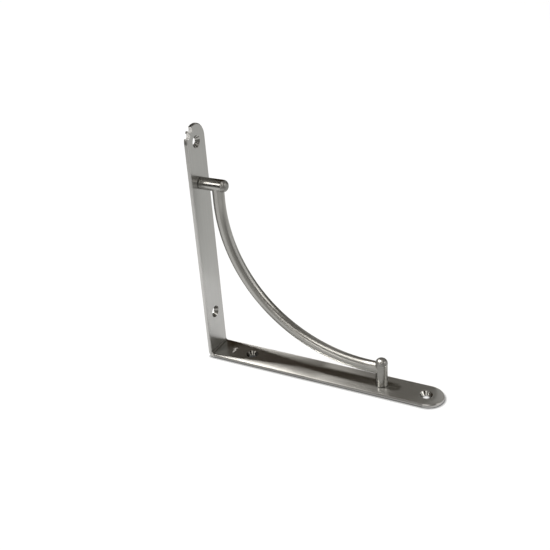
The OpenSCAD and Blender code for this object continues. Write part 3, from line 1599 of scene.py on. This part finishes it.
    def build(self) -> None:
        """Makes the camera, the floor, the cards, the lamps and the room's light."""
        self.camera()
        self.floor()
        for card in self.cards:
            self.card(card)
        for panel in self.panels:
            self.panel(panel)
        self.world()
        for lamp in self.lamps:
            lamp.build(self.target)
        bpy.context.scene.view_settings.view_transform = "Standard"


BRUSHED_STRIP = Nickel("brushed_strip", (0.41, 0.405, 0.387), (0.33, 0.326, 0.311), 0.268, 0.308, 1.0,
                       40 * MM, 0.22 * MM, 0.1, lacquer=1.0)
LINISHED_EDGE = Nickel("linished_edge", (0.45, 0.444, 0.428), (0.38, 0.375, 0.361), 0.3, 0.36, 0.9,
                       25 * MM, 0.2 * MM, 0.06)
TURNED_POST = Nickel("turned_post", (0.41, 0.404, 0.382), (0.32, 0.315, 0.297), 0.24, 0.28, 0.3,
                     14 * MM, 0.16 * MM, 0.001)
# Painted shade: the domed ends are painted darker than the posts, which dims the lamps' highlights on them.
SHADED_DOME = Nickel("shaded_dome", (0.3, 0.295, 0.279), (0.23, 0.226, 0.213), 0.37, 0.43, 0.0,
                    14 * MM, 0.16 * MM, 0.006)
SATIN_ROD = Nickel("satin_rod", (0.41, 0.404, 0.382), (0.32, 0.315, 0.297), 0.265, 0.3, 0.3,
                   30 * MM, 0.2 * MM, 0.001)
# Painted shade: dark finish on the arcs of the shelf leg's long sides.
SHADED_EDGE = Nickel("shaded_edge", (0.18, 0.176, 0.167), (0.13, 0.127, 0.12), 0.34, 0.4, 0.9,
                    25 * MM, 0.2 * MM, 0.06)
# Painted light: pale finish on the near side of the wall leg and the fold.
LIT_EDGE = Nickel("lit_edge", (0.62, 0.614, 0.598), (0.53, 0.525, 0.511), 0.46, 0.54, 0.6,
                     25 * MM, 0.2 * MM, 0.03)
DRILLED_BORE = Nickel("drilled_bore", (0.4, 0.394, 0.374), (0.3, 0.295, 0.279), 0.15, 0.19, 0.2,
                      6 * MM, 0.14 * MM, 0.005)
# Painted shade: the bore of the shelf leg's inner screw hole, which the wall leg keeps the light off.
SHADED_BORE = Nickel("shaded_bore", (0.15, 0.145, 0.134), (0.1, 0.096, 0.088), 0.13, 0.17, 0.2,
                      6 * MM, 0.14 * MM, 0.005)
# Painted shade: dark finish for the inside of the fold and the posts' chamfered feet.
SHADED_CREASE = Nickel("shaded_crease", (0.17, 0.163, 0.147), (0.12, 0.115, 0.102), 0.34, 0.42, 0.6,
                     30 * MM, 0.22 * MM, 0.06)
# Painted highlight: the bites' walls are painted near white.
LIT_BITE = Nickel("lit_bite", (0.9, 0.897, 0.885), (0.84, 0.837, 0.825), 0.7, 0.78, 0.0,
                   3 * MM, 0.3 * MM, 0.02)


def built(name: str, make: Callable[[], bpy.types.Object]) -> bpy.types.Object:
    """Builds a piece and reports it.

    Args:
        name: The piece's name in the report.
        make: Function that builds it.

    Returns:
        The piece.
    """
    piece = make()
    LOG.info("%s: %d points, %d faces", name, len(piece.data.vertices), len(piece.data.polygons))
    return piece


def main() -> None:
    """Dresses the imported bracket, lights it and keeps its sizes."""
    logging.basicConfig(level=logging.INFO, format="%(name)s %(message)s")
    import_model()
    strip_low, strip_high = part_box("bent_strip")
    wall_low, wall_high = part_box("wall_post")
    shelf_low, shelf_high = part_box("shelf_post")
    rod_low, rod_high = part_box("curved_rod")
    corner = Vector((strip_low.x, 0.0, strip_low.z))
    wall_at = ((wall_low + wall_high) / 2 - corner).z / MM
    shelf_at = ((shelf_low + shelf_high) / 2 - corner).x / MM
    post_radius = (shelf_high - shelf_low).x / 2 / MM
    rod_radius = (rod_high - rod_low).y / 2 / MM
    rod_off = (rod_low - corner).x / MM + rod_radius
    size = (strip_high - strip_low) / MM

    # Painted shade shared by the inside of the fold and the posts' feet.
    crease = SHADED_CREASE.build()
    strip_finishes = [BRUSHED_STRIP.build(), LINISHED_EDGE.build(), DRILLED_BORE.build(), crease,
                      LIT_BITE.build(), SHADED_EDGE.build(), LIT_EDGE.build(), SHADED_BORE.build()]
    post_finishes = [TURNED_POST.build(), PeenedNickel().build(), SHADED_DOME.build(), crease]
    satin = SATIN_ROD.build()

    strip = BentStrip(corner, size.y, size.z, size.x, wall_rivet=wall_at, shelf_rivet=shelf_at)
    post_length = (shelf_high.z - corner.z) / MM - strip.thickness
    post_sizes = (post_radius, post_length, strip.thickness)
    wall_post = Post(corner, Stand.WALL, "wall_post", wall_at, *post_sizes)
    shelf_post = Post(corner, Stand.SHELF, "shelf_post", shelf_at, *post_sizes)
    rod = CurvedRod(corner, rod_radius, rod_off, wall_at, shelf_at, post_radius)
    built("strip", lambda: strip.build(strip_finishes))
    built("wall post", lambda: wall_post.build(post_finishes))
    built("shelf post", lambda: shelf_post.build(post_finishes))
    built("rod", lambda: rod.build(satin))
    Studio().build()


if __name__ == "__main__":
    main()
